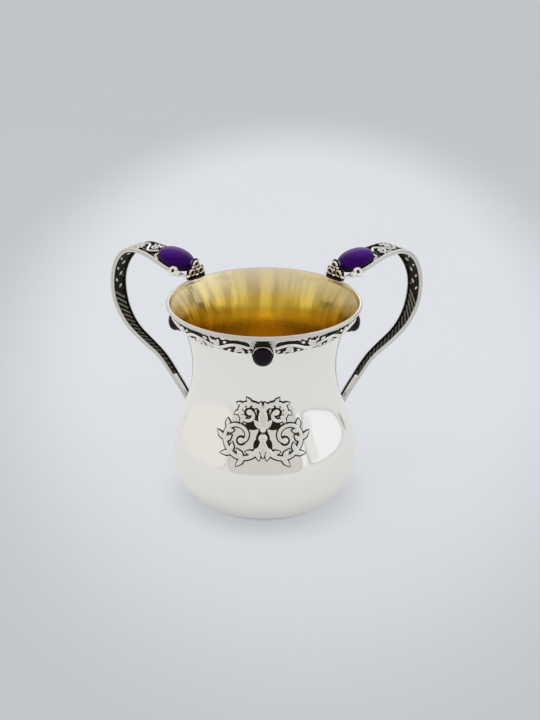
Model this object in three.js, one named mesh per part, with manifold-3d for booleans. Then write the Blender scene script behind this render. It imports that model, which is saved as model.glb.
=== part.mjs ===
// Two-handled washing cup in silver with a gilt inside, millimetres, +Z up.
// The origin is on the cup's axis at the underside of the base, and the front faces -Y.
import * as THREE from 'three';
import { mergeVertices } from 'three/addons/utils/BufferGeometryUtils.js';
import Module from 'manifold-3d';

const wasm = await Module();
wasm.setup();

// Cup body
const cupHeight = 105.6;
const rimRadius = 48;
const lipWidth = 2.3;
const lipHeight = 1.8;
const wall = 1;
const baseRadius = 27;
const baseRise = 11;
const bellyRadius = 47;
const bellyHeight = 27.4;
const neckRadius = 35.9;
const neckHeight = 71.6;
const mouthLean = 46;
const bellyShares = [0.43, 0.42];
const shoulderShares = [0.342, 0.484];
const flareShares = [0.365, 0.32];

// Fits and clearances
const solderGap = 0.3;
const settingGap = 0.15;
const overrun = 3;
const roundSides = 40;
const gapSteps = 16;
const upright = 90;

// Filigree band under the lip, with its four stones
const bandDrop = 0.3;
const bandHeight = 9.6;
const bandStem = 1.4;
const bandWire = 1;
const bandHollows = 7;
const bandSwayShare = 0.4;
const bandRingletShare = 0.74;
const bandEndGap = 0.6;
const bandStoneDrop = 11.2;
const bandStoneSize = 10;
const bandStoneDome = 2.3;
const bandGirdle = 0.8;
const bandBezelStand = 0.9;
const bandBezelSheet = 0.45;

// Handles: the line of a strap in its upright plane, from the rim over the arch to the belly
const handleAngle = 42;
const strapThickness = 2.4;
const railWidth = 0.9;
const rimEndReach = 1.2;
const rimEndRise = 0;
const rimEndClimb = 22;
const archReach = 36.5;
const archRise = 7.2;
const handleReach = 60.2;
const handleDrop = 18.8;
const elbowReach = 47.2;
const elbowDrop = 42;
const elbowSlope = 31;
const bendReach = 29.5;
const bendDrop = 50.2;
const bendSlope = 26;
const kneeReach = 15.2;
const kneeDrop = 62;
const kneeSlope = 43;
const footHeight = 24.5;
const footLean = 14;
const strapShares = [[0.33, 0.36], [0.39, 0.37], [0.36, 0.36], [0.33, 0.33], [0.33, 0.33], [0.34, 0.34]];
const rimSpan = 14;
const stoneSpan = 18.4;
const archSpan = 15;
const grip = 9.5;
const runSpan = 6.8;
const bendSpan = 5.3;
const footSpan = 4.4;

// Handle stones and what dresses the straps
const stoneLength = 20;
const stoneWidth = 15;
const stoneDome = 3.2;
const bezelHeight = 1.2;
const bezelSheet = 0.7;
const seatSheet = 0.5;
const voluteRadius = 2.3;
const voluteWire = 1.2;
const voluteInset = 1;
const scrollWire = 1.1;
const scrollHollows = 7;
const scrollRingletShare = 0.7;
const coilWire = 1;
const coilPitch = 3;
const tongueSheet = 0.9;
const saddleLength = 8;
const saddleSheet = 0.6;
const saddleWire = 1.2;
const finialRing = 1.7;
const finialWire = 1.1;
const finialClimb = 3.5;
const grain = 0.8;
const footPadLength = 15;
const footPadWidth = 9;
const footPadSheet = 0.9;

// Applied ornament on the front of the belly
const ornamentHeight = 55;
const ornamentSheet = 0.8;
const ribbon = 2;
const bigScroll = 11;
const bigScrollDrop = 5;
const smallScroll = 6.6;
const smallScrollRise = 6;
const scrollTurns = 2.4;
const scrollCurlShare = 0.85;
const leafLength = 19;
const leafWidth = 6.4;
const beadRadius = 2.4;

// Places along the strap, as shares of its line from the rim to the belly
const stoneShare = 0.085;
const railStartShare = 0.06;
const archShare = 0.21;
const gripShare = 0.46;
const runShare = 0.66;
const bendShare = 0.79;
const scrollworkShares = [0.17, 0.47];
const coilShares = [0.49, 0.83];
const tongueShares = [0.845, 0.985];

const silver = { color: 0xd9d7d0, roughness: 0.18, metalness: 1 };
const oxidised = { color: 0x8c8a82, roughness: 0.35, metalness: 1 };
const purpleStone = { color: 0x3c0a78, roughness: 0.05, metalness: 0 };
const darkStone = { color: 0x1a0a14, roughness: 0.05, metalness: 0 };

const radians = THREE.MathUtils.degToRad;

// A direction in the (radius, height) plane, from its angle above outward
function heading(degrees) {
  return new THREE.Vector2(Math.cos(radians(degrees)), Math.sin(radians(degrees)));
}

// A Bezier stretch between two points that leaves and arrives along given headings
function stretch(from, leave, to, arrive, shares) {
  const span = from.distanceTo(to);
  const first = from.clone().addScaledVector(heading(leave), shares[0] * span);
  const second = to.clone().addScaledVector(heading(arrive), -shares[1] * span);
  return new THREE.CubicBezierCurve(from, first, second, to);
}

function solidOf(geometry) {
  const bare = new THREE.BufferGeometry();
  bare.setAttribute('position', geometry.attributes.position);
  if (geometry.index) bare.setIndex(geometry.index);
  const merged = mergeVertices(bare);
  return new wasm.Manifold(new wasm.Mesh({
    numProp: 3,
    vertProperties: new Float32Array(merged.attributes.position.array),
    triVerts: new Uint32Array(merged.index.array),
  }));
}

function geometryOf(solid) {
  const made = solid.getMesh();
  const geometry = new THREE.BufferGeometry();
  geometry.setAttribute('position', new THREE.BufferAttribute(made.vertProperties, 3));
  geometry.setIndex(new THREE.BufferAttribute(made.triVerts, 1));
  return geometry;
}

function join(geometries) {
  return geometries.map(solidOf).reduce((whole, piece) => whole.add(piece));
}

// A solid of revolution about +Z from a profile of (radius, height) points
function revolve(profile, segments) {
  return new THREE.LatheGeometry(profile, segments).rotateX(Math.PI / 2);
}

// An oval outline, with an oval hole when a sheet thickness is given
function oval(halfLong, halfWide, sheet = 0) {
  const shape = new THREE.Shape().absellipse(0, 0, halfLong, halfWide, 0, 2 * Math.PI);
  if (sheet) {
    shape.holes.push(new THREE.Path().absellipse(0, 0, halfLong - sheet, halfWide - sheet, 0, 2 * Math.PI));
  }
  return shape;
}

function slab(shape, thickness) {
  return new THREE.ExtrudeGeometry(shape, { depth: thickness, bevelEnabled: false, curveSegments: 10 });
}

function sweep(section, path, steps) {
  return new THREE.ExtrudeGeometry(section, { steps, extrudePath: path, bevelEnabled: false });
}

function polygon(radius, sides) {
  const corners = Array.from({ length: sides }, (_, i) => {
    return heading((360 * i) / sides).multiplyScalar(radius);
  });
  return new THREE.Shape(corners);
}

function rectangle(width, height) {
  const [x, y] = [width / 2, height / 2];
  return new THREE.Shape([[-x, -y], [x, -y], [x, y], [-x, y]].map(([a, b]) => new THREE.Vector2(a, b)));
}

// A domed oval stone on its flat base
function cabochon(halfLong, halfWide, girdle, dome) {
  const edge = [new THREE.Vector2(0, 0), new THREE.Vector2(1, 0)];
  for (let i = 0; i < 4; i += 1) {
    const turn = heading((90 * i) / 4);
    edge.push(new THREE.Vector2(turn.x, girdle + dome * turn.y));
  }
  edge.push(new THREE.Vector2(0, girdle + dome));
  return revolve(edge, 18).scale(halfLong, halfWide, 1);
}

// Turns a geometry built along X, Y and Z to lie along three given directions at a point
function setOn(geometry, x, y, z, at) {
  return geometry.applyMatrix4(new THREE.Matrix4().makeBasis(x, y, z).setPosition(at));
}

const group = new THREE.Group();

function add(name, geometry, finish, parent = group) {
  const mesh = new THREE.Mesh(geometry, new THREE.MeshStandardMaterial(finish));
  mesh.name = name;
  parent.add(mesh);
}

// Cup body

const baseEdge = new THREE.Vector2(baseRadius, 0);
const belly = new THREE.Vector2(bellyRadius, bellyHeight);
const neck = new THREE.Vector2(neckRadius, neckHeight);
const mouth = new THREE.Vector2(rimRadius - lipWidth / 4, cupHeight - lipHeight - solderGap);
const bodyCurves = [
  stretch(baseEdge, baseRise, belly, upright, bellyShares),
  stretch(belly, upright, neck, upright, shoulderShares),
  stretch(neck, upright, mouth, upright - mouthLean, flareShares),
];

// The outside of the wall, from the base edge to the mouth
function bodyLine(steps) {
  return [baseEdge.clone(), ...bodyCurves.flatMap((curve) => curve.getPoints(steps).slice(1))];
}

const fineLine = bodyLine(60);

// The outside of the wall at a height, and its outward normal, in (radius, height)
function wallAt(height) {
  const next = Math.max(1, fineLine.findIndex((p) => p.y >= height));
  const [low, high] = [fineLine[next - 1], fineLine[next]];
  const along = high.clone().sub(low).normalize();
  return {
    point: low.clone().lerp(high, (height - low.y) / (high.y - low.y)),
    normal: new THREE.Vector2(along.y, -along.x),
  };
}

// A line of (radius, height) points moved outward, or inward below zero
function offsetLine(line, distance) {
  return line.map((point, i) => {
    const before = line[Math.max(0, i - 1)];
    const after = line[Math.min(line.length - 1, i + 1)];
    const along = after.clone().sub(before).normalize();
    return new THREE.Vector2(along.y, -along.x).multiplyScalar(distance).add(point);
  });
}

function bowl() {
  const outside = bodyLine(5);
  const inside = offsetLine(outside, -wall).filter((p) => p.y > 1.5 * wall && p.y < mouth.y);
  const top = new THREE.Vector2(mouth.x - wall / Math.cos(radians(mouthLean)), mouth.y);
  const floor = [new THREE.Vector2(baseRadius, wall), new THREE.Vector2(0, wall)];
  return revolve([new THREE.Vector2(0, 0), ...outside, top, ...inside.reverse(), ...floor], roundSides);
}

function lip() {
  const half = lipWidth / 2;
  const middle = rimRadius - half;
  const profile = [new THREE.Vector2(rimRadius - lipWidth, cupHeight - lipHeight)];
  for (let i = 0; i <= 6; i += 1) {
    const turn = heading((180 * i) / 6).multiplyScalar(half);
    profile.push(new THREE.Vector2(middle + turn.x, cupHeight - half + turn.y));
  }
  profile.splice(1, 0, new THREE.Vector2(rimRadius, cupHeight - lipHeight));
  return revolve([...profile, profile[0].clone()], roundSides);
}

// A shell round the wall, between two distances from it
function wallShell(near, far) {
  const line = bodyLine(5);
  const inner = offsetLine(line, near);
  const outer = offsetLine(line, far);
  return solidOf(revolve([...outer, ...inner.reverse(), outer[0].clone()], roundSides));
}

// Everything nearer to the axis than a distance outside the wall
function wallCore(distance) {
  const line = offsetLine(bodyLine(5), distance);
  const [low, high] = [line[0].y, line[line.length - 1].y];
  return solidOf(revolve([new THREE.Vector2(0, low), ...line, new THREE.Vector2(0, high)], roundSides));
}

// Filigree band

const bandTop = cupHeight - lipHeight - bandDrop;
const bandMiddle = bandTop - bandHeight / 2;
const bandStoneHeight = cupHeight - bandStoneDrop;

// The wall at an azimuth and a height, in space: a point, and its across, along and outward directions
function onWall(azimuth, height) {
  const { point, normal } = wallAt(height);
  const turn = radians(azimuth);
  const [c, s] = [Math.cos(turn), Math.sin(turn)];
  const out = new THREE.Vector3(c * normal.x, s * normal.x, normal.y);
  const across = new THREE.Vector3(-s, c, 0);
  return {
    at: new THREE.Vector3(c * point.x, s * point.x, point.y),
    across,
    along: out.clone().cross(across),
    out,
  };
}

// A line round the wall between two azimuths, at a height and a lift given along it
class WallCurve extends THREE.Curve {
  constructor(from, to, heightAt, lift) {
    super();
    Object.assign(this, { from, to, heightAt, lift });
  }

  getPoint(t) {
    const { at, out } = onWall(THREE.MathUtils.lerp(this.from, this.to, t), this.heightAt(t));
    return at.addScaledVector(out, this.lift);
  }
}

// A running scroll between two stones: a waving stem with a ringlet in each hollow
function bandSegment(azimuth) {
  const { point } = wallAt(bandMiddle);
  const half = 45 - THREE.MathUtils.radToDeg(Math.asin((bandBezelRadius + bandEndGap) / point.x));
  const sway = (bandHeight - bandStem) * bandSwayShare;
  const heightAt = (t) => bandMiddle + sway * Math.sin(Math.PI * bandHollows * t);
  const lift = solderGap + bandStem / 2;
  const stem = new WallCurve(azimuth - half, azimuth + half, heightAt, lift);
  const radius = (bandHeight - bandStem) / 2 * bandRingletShare;
  const pieces = [sweep(polygon(bandStem / 2, 4), stem, 3 * bandHollows)];
  for (let i = 0; i < bandHollows; i += 1) {
    const middle = (i + 0.5) / bandHollows;
    const hollow = i % 2 ? 1 : -1;
    const height = bandMiddle - hollow * (sway - radius);
    const place = onWall(THREE.MathUtils.lerp(stem.from, stem.to, middle), height);
    const ringlet = new THREE.TorusGeometry(radius, bandWire / 2, 3, 9);
    const at = place.at.addScaledVector(place.out, lift);
    pieces.push(setOn(ringlet, place.across, place.along, place.out, at));
  }
  return geometryOf(join(pieces));
}

// Lays a geometry on the wall at a band stone's place, facing level outward
function setStone(geometry, azimuth) {
  const { at, across } = onWall(azimuth, bandStoneHeight);
  const up = new THREE.Vector3(0, 0, 1);
  return setOn(geometry, across, up, across.clone().cross(up), at);
}

// A collet that grows out of the leaning wall and ends in a level plane clear of the wall above
const bandBezelRadius = bandStoneSize / 2 + settingGap + bandBezelSheet;
const wallRise = wallAt(bandStoneHeight + bandBezelRadius).point.x - wallAt(bandStoneHeight).point.x;
const bandBezelHeight = wallRise + bandBezelStand;

function bandBezel(azimuth, core) {
  const ring = slab(oval(bandBezelRadius, bandBezelRadius, bandBezelSheet), bandBezelHeight + overrun);
  return geometryOf(solidOf(setStone(ring.translate(0, 0, -overrun), azimuth)).subtract(core));
}

function bandStone(azimuth) {
  const stone = cabochon(bandStoneSize / 2, bandStoneSize / 2, bandGirdle, bandStoneDome);
  return setStone(stone.translate(0, 0, bandBezelHeight - bandGirdle), azimuth);
}

// Ornament on the front of the belly, drawn flat and bent round the wall

// A ribbon of constant width along a flat curve
function ribbonAlong(curve, width, steps) {
  const sides = [[], []];
  for (let i = 0; i <= steps; i += 1) {
    const point = curve.getPoint(i / steps);
    const along = curve.getTangent(i / steps);
    const across = new THREE.Vector2(-along.y, along.x).multiplyScalar(width / 2);
    sides[0].push(point.clone().add(across));
    sides[1].push(point.clone().sub(across));
  }
  return new THREE.Shape([...sides[0], ...sides[1].reverse()]);
}

// A scroll that starts at a height on the middle line, swings out to one side and curls in on
// itself; it sets out upward where swing is 1, and downward where it is -1
class Scroll extends THREE.Curve {
  constructor(side, size, swing, start) {
    super();
    Object.assign(this, { side, size, swing, start });
  }

  getPoint(t) {
    const radius = this.size * (1 - scrollCurlShare * t);
    const turn = Math.PI * (1 - scrollTurns * t);
    const x = this.size + radius * Math.cos(turn);
    return new THREE.Vector2(this.side * x, this.start + this.swing * radius * Math.sin(turn));
  }
}

// A pointed leaf upright on the middle line
function leaf(length, width) {
  const shape = new THREE.Shape().moveTo(0, 0);
  shape.bezierCurveTo(width, length / 3, width / 2, (2 * length) / 3, 0, length);
  shape.bezierCurveTo(-width / 2, (2 * length) / 3, -width, length / 3, 0, 0);
  return shape;
}

function ornament(shell) {
  const depth = bellyRadius + overrun;
  const pieces = [];
  for (const side of [-1, 1]) {
    const low = new Scroll(side, bigScroll, -1, -bigScrollDrop);
    const high = new Scroll(side, smallScroll, 1, smallScrollRise);
    pieces.push(slab(ribbonAlong(low, ribbon, 22), depth), slab(ribbonAlong(high, ribbon, 16), depth));
  }
  for (const shape of [leaf(leafLength, leafWidth), oval(beadRadius, beadRadius)]) {
    pieces.push(slab(shape, depth).translate(0, -bigScrollDrop, 0));
  }
  const flat = join(pieces).getMesh();
  const placed = new THREE.BufferGeometry();
  placed.setAttribute('position', new THREE.BufferAttribute(flat.vertProperties, 3));
  placed.setIndex(new THREE.BufferAttribute(flat.triVerts, 1));
  placed.rotateX(Math.PI / 2).translate(0, 0, ornamentHeight);
  return geometryOf(solidOf(placed).intersect(shell));
}

// Handles, each built with its upright plane along +X and turned to its place

const footWall = wallAt(footHeight);
const footLift = solderGap + footPadSheet + solderGap + strapThickness / 2;
const stations = [
  [new THREE.Vector2(rimRadius + rimEndReach, cupHeight + rimEndRise), rimEndClimb],
  [new THREE.Vector2(rimRadius + archReach, cupHeight + archRise), 0],
  [new THREE.Vector2(rimRadius + handleReach, cupHeight - handleDrop), -90],
  [new THREE.Vector2(rimRadius + elbowReach, cupHeight - elbowDrop), elbowSlope - 180],
  [new THREE.Vector2(rimRadius + bendReach, cupHeight - bendDrop), bendSlope - 180],
  [new THREE.Vector2(rimRadius + kneeReach, cupHeight - kneeDrop), kneeSlope - 180],
  [footWall.point.clone().addScaledVector(footWall.normal, footLift), -90 - footLean],
];

const strapLine = new THREE.CurvePath();
for (let i = 1; i < stations.length; i += 1) {
  strapLine.add(stretch(...stations[i - 1], ...stations[i], strapShares[i - 1]));
}
const strapLength = strapLine.getLength();

const spans = [
  [0, rimSpan],
  [stoneShare, stoneSpan],
  [archShare, archSpan],
  [gripShare, grip],
  [runShare, runSpan],
  [bendShare, bendSpan],
  [1, footSpan],
];

// The strap's whole width at a share of its line
function spanAt(share) {
  const next = Math.max(1, spans.findIndex(([place]) => place >= share));
  const [[low, narrow], [high, wide]] = [spans[next - 1], spans[next]];
  return narrow + (wide - narrow) * THREE.MathUtils.smoothstep(share, low, high);
}

// The clear width between the rails
function clearAt(share) {
  return spanAt(share) - 2 * railWidth - 2 * solderGap;
}

// A place on the strap: its point, and the directions along it and out of its outer face
function strapPlace(share, across = 0, lift = 0) {
  const held = THREE.MathUtils.clamp(share, 0.001, 0.999);
  const point = strapLine.getPoint(held);
  const tangent = strapLine.getTangent(held);
  const along = new THREE.Vector3(tangent.x, 0, tangent.y);
  const out = new THREE.Vector3(-tangent.y, 0, tangent.x);
  const at = new THREE.Vector3(point.x, across, point.y).addScaledVector(out, lift);
  return { at, along, out, side: out.clone().cross(along) };
}

class StrapCurve extends THREE.Curve {
  constructor(shares, acrossAt, liftAt) {
    super();
    Object.assign(this, { shares, acrossAt, liftAt });
    this.arcLengthDivisions = 800;
  }

  getPoint(t) {
    const share = THREE.MathUtils.lerp(...this.shares, t);
    return strapPlace(share, this.acrossAt(share, t), this.liftAt(t)).at;
  }
}

// The setting of a handle stone: the half sizes of its oval, and where its wall begins
const settingLong = stoneLength / 2 + settingGap + bezelSheet;
const settingWide = stoneWidth / 2 + settingGap + bezelSheet;
const bezelLift = strapThickness / 2 + solderGap + seatSheet + solderGap;

function onStrap(geometry, share, across, lift) {
  const { at, along, out, side } = strapPlace(share, across, lift);
  return setOn(geometry, along, side, out, at);
}

// One edge rail, with the ring that ends it beside the stone
function rail(side) {
  const acrossAt = (share) => side * (spanAt(share) - railWidth) / 2;
  const path = new StrapCurve([railStartShare, 1], acrossAt, () => 0);
  const bar = sweep(rectangle(railWidth, strapThickness), path, 34);
  const share = railStartShare - voluteRadius / strapLength;
  const ring = new THREE.TorusGeometry(voluteRadius, voluteWire / 2, 5, 12);
  return geometryOf(join([bar, onStrap(ring, share, acrossAt(railStartShare) - side * voluteInset, 0)]));
}

// A running scroll between the rails: a waving stem with a ringlet in each hollow
function scrollwork() {
  const swayAt = (share) => (clearAt(share) - scrollWire) / 2;
  const acrossAt = (share, t) => swayAt(share) * Math.sin(Math.PI * scrollHollows * t);
  const stem = new StrapCurve(scrollworkShares, acrossAt, () => 0);
  const pieces = [sweep(polygon(scrollWire / 2, 4), stem, 3 * scrollHollows)];
  for (let i = 0; i < scrollHollows; i += 1) {
    const share = THREE.MathUtils.lerp(...scrollworkShares, (i + 0.5) / scrollHollows);
    const radius = swayAt(share) * scrollRingletShare;
    const ringlet = new THREE.TorusGeometry(radius, scrollWire / 2, 3, 9);
    pieces.push(onStrap(ringlet, share, (i % 2 ? -1 : 1) * (swayAt(share) - radius), 0));
  }
  return geometryOf(join(pieces));
}

// The least distance between the turns of a wound wire, from skin to skin
function leastGap(path, turns) {
  const points = path.getPoints(turns * gapSteps);
  let least = Infinity;
  points.forEach((point, i) => {
    for (let j = i + gapSteps / 2; j < points.length; j += 1) {
      least = Math.min(least, point.distanceTo(points[j]) - coilWire);
    }
  });
  return least;
}

// The wound wire that fills the run below the grip
function coil(name, hand) {
  const turns = Math.round(((coilShares[1] - coilShares[0]) * strapLength) / coilPitch);
  const acrossAt = (share, t) => hand * (clearAt(share) - coilWire) / 2 * Math.cos(2 * Math.PI * turns * t);
  const liftAt = (t) => (strapThickness - coilWire) / 2 * Math.sin(2 * Math.PI * turns * t);
  const path = new StrapCurve(coilShares, acrossAt, liftAt);
  console.log(`${name}: ${turns} turns, least gap ${leastGap(path, turns).toFixed(2)} mm`);
  return sweep(polygon(coilWire / 2, 4), path, turns * 5);
}

function tongue() {
  const path = new StrapCurve(tongueShares, () => 0, () => 0);
  return sweep(rectangle(clearAt(tongueShares[1]), tongueSheet), path, 12);
}

// The back sheet of the setting, on top of the rails
function stoneSeat() {
  const plate = slab(oval(settingLong, settingWide), seatSheet);
  return onStrap(plate, stoneShare, 0, strapThickness / 2 + solderGap);
}

function stoneBezel() {
  const ring = slab(oval(settingLong, settingWide, bezelSheet), bezelHeight);
  return onStrap(ring, stoneShare, 0, bezelLift);
}

function handleStone() {
  const stone = cabochon(stoneLength / 2, stoneWidth / 2, bezelHeight - settingGap, stoneDome);
  return onStrap(stone, stoneShare, 0, bezelLift + settingGap);
}

// The plate on the lip and the two short wires that hold the strap's end
function rimSaddle() {
  const top = cupHeight + solderGap;
  const plate = slab(oval(saddleLength / 2, rimSpan / 2), saddleSheet).translate(rimRadius, 0, top);
  const share = railStartShare - (2 * voluteRadius + voluteWire / 2 + solderGap) / strapLength;
  const pieces = [plate];
  for (const side of [-1, 1]) {
    const start = new THREE.Vector3(rimRadius, side * (rimSpan / 2 - saddleWire), top + saddleSheet / 2);
    const end = strapPlace(share, side * (spanAt(railStartShare) / 2 - voluteInset - voluteWire)).at;
    pieces.push(sweep(polygon(saddleWire / 2, 6), new THREE.LineCurve3(start, end), 1));
  }
  return geometryOf(join(pieces));
}

// A trefoil of three ringlets with grains between, upright on the rim
function finial() {
  const base = cupHeight + solderGap + saddleSheet + solderGap;
  const spread = finialRing + finialWire / 4;
  const low = base + finialRing + finialWire / 2;
  const places = [[-spread, low], [spread, low], [0, low + finialClimb]];
  const pieces = places.map(([across, height]) => {
    const ring = new THREE.TorusGeometry(finialRing, finialWire / 2, 3, 9);
    return ring.rotateY(Math.PI / 2).translate(rimRadius, across, height);
  });
  const grains = [[0, low + finialRing / 2], [-spread, low + finialClimb / 2], [spread, low + finialClimb / 2]];
  for (const [across, height] of grains) {
    pieces.push(new THREE.SphereGeometry(grain, 5, 4).translate(rimRadius, across, height));
  }
  return geometryOf(join(pieces));
}

// The leaf plate soldered to the belly under the strap's foot
function footPad(shell) {
  const plate = slab(oval(footPadWidth / 2, footPadLength / 2), bellyRadius + overrun);
  plate.rotateX(Math.PI / 2).rotateZ(Math.PI / 2).translate(0, 0, footHeight);
  return geometryOf(solidOf(plate).intersect(shell));
}

function addHandle(name, azimuth, padShell) {
  const handle = new THREE.Group();
  handle.rotation.z = radians(azimuth);
  group.add(handle);
  const frontSide = azimuth > 90 ? 1 : -1;
  add(`${name}_front_rail`, rail(frontSide), silver, handle);
  add(`${name}_back_rail`, rail(-frontSide), silver, handle);
  add(`${name}_scrollwork`, scrollwork(), oxidised, handle);
  add(`${name}_coil`, coil(`${name}_coil`, frontSide), oxidised, handle);
  add(`${name}_tongue`, tongue(), silver, handle);
  add(`${name}_stone_seat`, stoneSeat(), oxidised, handle);
  add(`${name}_stone_bezel`, stoneBezel(), silver, handle);
  add(`${name}_stone`, handleStone(), purpleStone, handle);
  add(`${name}_rim_saddle`, rimSaddle(), oxidised, handle);
  add(`${name}_finial`, finial(), silver, handle);
  add(`${name}_foot_pad`, footPad(padShell), silver, handle);
}

add('bowl', bowl(), silver);
add('lip', lip(), silver);

const core = wallCore(solderGap);
for (const [place, azimuth] of [['right', 0], ['rear', 90], ['left', 180], ['front', 270]]) {
  add(`${place}_bezel`, bandBezel(azimuth, core), silver);
  add(`${place}_stone`, bandStone(azimuth), darkStone);
}
const segments = [['rear_right', 45], ['rear_left', 135], ['front_left', 225], ['front_right', 315]];
for (const [place, azimuth] of segments) {
  add(`${place}_band`, bandSegment(azimuth), oxidised);
}
add('front_ornament', ornament(wallShell(solderGap, solderGap + ornamentSheet)), silver);

const padShell = wallShell(solderGap, solderGap + footPadSheet);
addHandle('right_handle', handleAngle, padShell);
addHandle('left_handle', 180 - handleAngle, padShell);

export default group;
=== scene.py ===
"""Looks of the two-handled washing cup: polished silver, gilt inside, filigree and cabochons."""

import math

import bpy
import numpy as np
from mathutils import Matrix, Vector


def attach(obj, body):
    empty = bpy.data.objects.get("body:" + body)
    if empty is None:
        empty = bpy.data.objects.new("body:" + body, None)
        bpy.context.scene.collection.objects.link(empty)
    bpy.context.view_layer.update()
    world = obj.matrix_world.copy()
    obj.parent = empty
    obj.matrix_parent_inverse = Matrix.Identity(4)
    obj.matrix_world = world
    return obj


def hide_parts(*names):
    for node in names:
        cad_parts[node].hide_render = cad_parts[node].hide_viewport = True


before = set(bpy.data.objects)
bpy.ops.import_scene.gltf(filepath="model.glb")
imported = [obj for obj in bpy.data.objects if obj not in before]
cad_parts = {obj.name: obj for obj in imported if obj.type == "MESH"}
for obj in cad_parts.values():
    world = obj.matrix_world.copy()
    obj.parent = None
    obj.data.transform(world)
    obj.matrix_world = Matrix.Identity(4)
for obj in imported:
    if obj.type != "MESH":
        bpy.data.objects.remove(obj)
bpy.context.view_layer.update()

MM = 0.001

# Cup body, in millimetres
CUP_HEIGHT = 105.6
RIM_RADIUS = 48.0
LIP_WIDTH = 2.3
LIP_HEIGHT = 1.8
WALL = 1.0
SOLDER_GAP = 0.3
MOUTH = (RIM_RADIUS - LIP_WIDTH / 4, CUP_HEIGHT - LIP_HEIGHT - SOLDER_GAP)
BASE_RADIUS = 27.0
BELLY = (47.0, 27.4)
NECK = (35.9, 71.6)
ROUND_STEPS = 160
LINE_STEPS = 40
AXIS = 0.01

# The wall's outside: each stretch's start and heading, its end and heading, and its shares
BODY = [
    ((BASE_RADIUS, 0.0), 11, BELLY, 90, (0.43, 0.42)),
    (BELLY, 90, NECK, 90, (0.342, 0.484)),
    (NECK, 90, MOUTH, 44, (0.365, 0.32)),
]

# Band under the lip
BAND_DROP = 0.3
BAND_TOP = CUP_HEIGHT - LIP_HEIGHT - BAND_DROP
BAND_HEIGHT = 9.6
BAND_HEIGHT_SHARE = 0.72
BAND_STONE_ROOM = 6.3
BAND_STONE_HEIGHT = 94.4
BAND_STONE_RADIUS = 4.35
COLLET_RADIUS = 4.75
COLLET_STAND = 4.0
SKIRT_RADIUS = 5.1
BEAD_RADIUS = 4.5
ARC_RADIUS = 4.85
ARC_WIRE = 0.27

# Handles
HANDLE_ANGLE = 42
STRAP_DEPTH = 2.4
RAIL_WIDTH = 0.9
VOLUTE_RADIUS = 1.75
VOLUTE_WIRE = 1.05
VOLUTE_EYE = 1.4
VOLUTE_BALL = 1.8
THINNING = 0.7
THINNING_SHARES = (0.55, 0.4)
FOOT_HEIGHT = 24.5
FOOT_SHEET = 0.9
FOOT_HEADING = -90 - 14
STONE_SHARE = 0.085
RAIL_START = 0.06
SPANS = [(0, 14), (STONE_SHARE, 18.4), (0.21, 15), (0.46, 9.5), (0.66, 6.8), (0.79, 5.3), (1, 4.4)]
SCROLLWORK = (0.165, 0.475)
COIL = (0.482, 0.835)
COIL_PITCH = 3.0
COIL_MARGIN = 0.9
TONGUE = (0.84, 0.99)
STONE_LONG = 20.0
STONE_WIDE = 15.0

# The strap's line: reach beyond the rim, rise above it, and heading in degrees
STRAP_STATIONS = [
    (1.2, 0, 22),
    (36.5, 7.2, 0),
    (60.2, -18.8, -90),
    (47.2, -42, 31 - 180),
    (29.5, -50.2, 26 - 180),
    (15.2, -62, 43 - 180),
]
STRAP_SHARES = [(0.33, 0.36), (0.39, 0.37), (0.36, 0.36), (0.33, 0.33), (0.33, 0.33), (0.34, 0.34)]

# The camera, fitted to the photograph: angles in radians, lengths in millimetres, yaw in degrees
CAMERA_PITCH = 0.4118
CAMERA_ROLL = 0.0019
CAMERA_SIDE = 2.8372
CAMERA_REACH = 699.13
CAMERA_AIM = 73.46
CAMERA_YAW = 0.7


# Curves in a plane

def heading(degrees):
    return np.array([math.cos(math.radians(degrees)), math.sin(math.radians(degrees))])


def circle(steps):
    """Angles once round, in radians."""
    return np.linspace(0, 2 * np.pi, steps, endpoint=False)


def stretch(start, leave, end, arrive, shares, steps):
    """A curve that leaves its start and reaches its end at given headings."""
    start, end = np.array(start, float), np.array(end, float)
    span = np.linalg.norm(end - start)
    first = start + heading(leave) * shares[0] * span
    second = end - heading(arrive) * shares[1] * span
    t = np.linspace(0, 1, steps + 1)[:, None]
    return (1 - t) ** 3 * start + 3 * (1 - t) ** 2 * t * first + 3 * (1 - t) * t**2 * second + t**3 * end


def body_line(steps):
    parts = [stretch(*one, steps) for one in BODY]
    return np.concatenate([parts[0]] + [p[1:] for p in parts[1:]])


FINE = body_line(120)


def wall_at(height):
    """Radius of the wall's outside at a height, and its outward normal, as (radius, height)."""
    radius = np.interp(height, FINE[:, 1], FINE[:, 0])
    step = 0.2
    low, high = np.interp([height - step, height + step], FINE[:, 1], FINE[:, 0])
    along = np.array([high - low, 2 * step])
    along /= np.linalg.norm(along)
    return radius, np.array([along[1], -along[0]])


def offset_line(line, distance):
    along = np.gradient(line, axis=0)
    along /= np.linalg.norm(along, axis=1)[:, None]
    return line + distance * np.stack([along[:, 1], -along[:, 0]], 1)


# Meshes

def add_mesh(name, verts, faces, looks):
    mesh = bpy.data.meshes.new(name)
    mesh.from_pydata(verts, [], faces)
    for look in looks:
        mesh.materials.append(look)
    piece = bpy.data.objects.new(name, mesh)
    bpy.context.scene.collection.objects.link(piece)
    return piece


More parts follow.
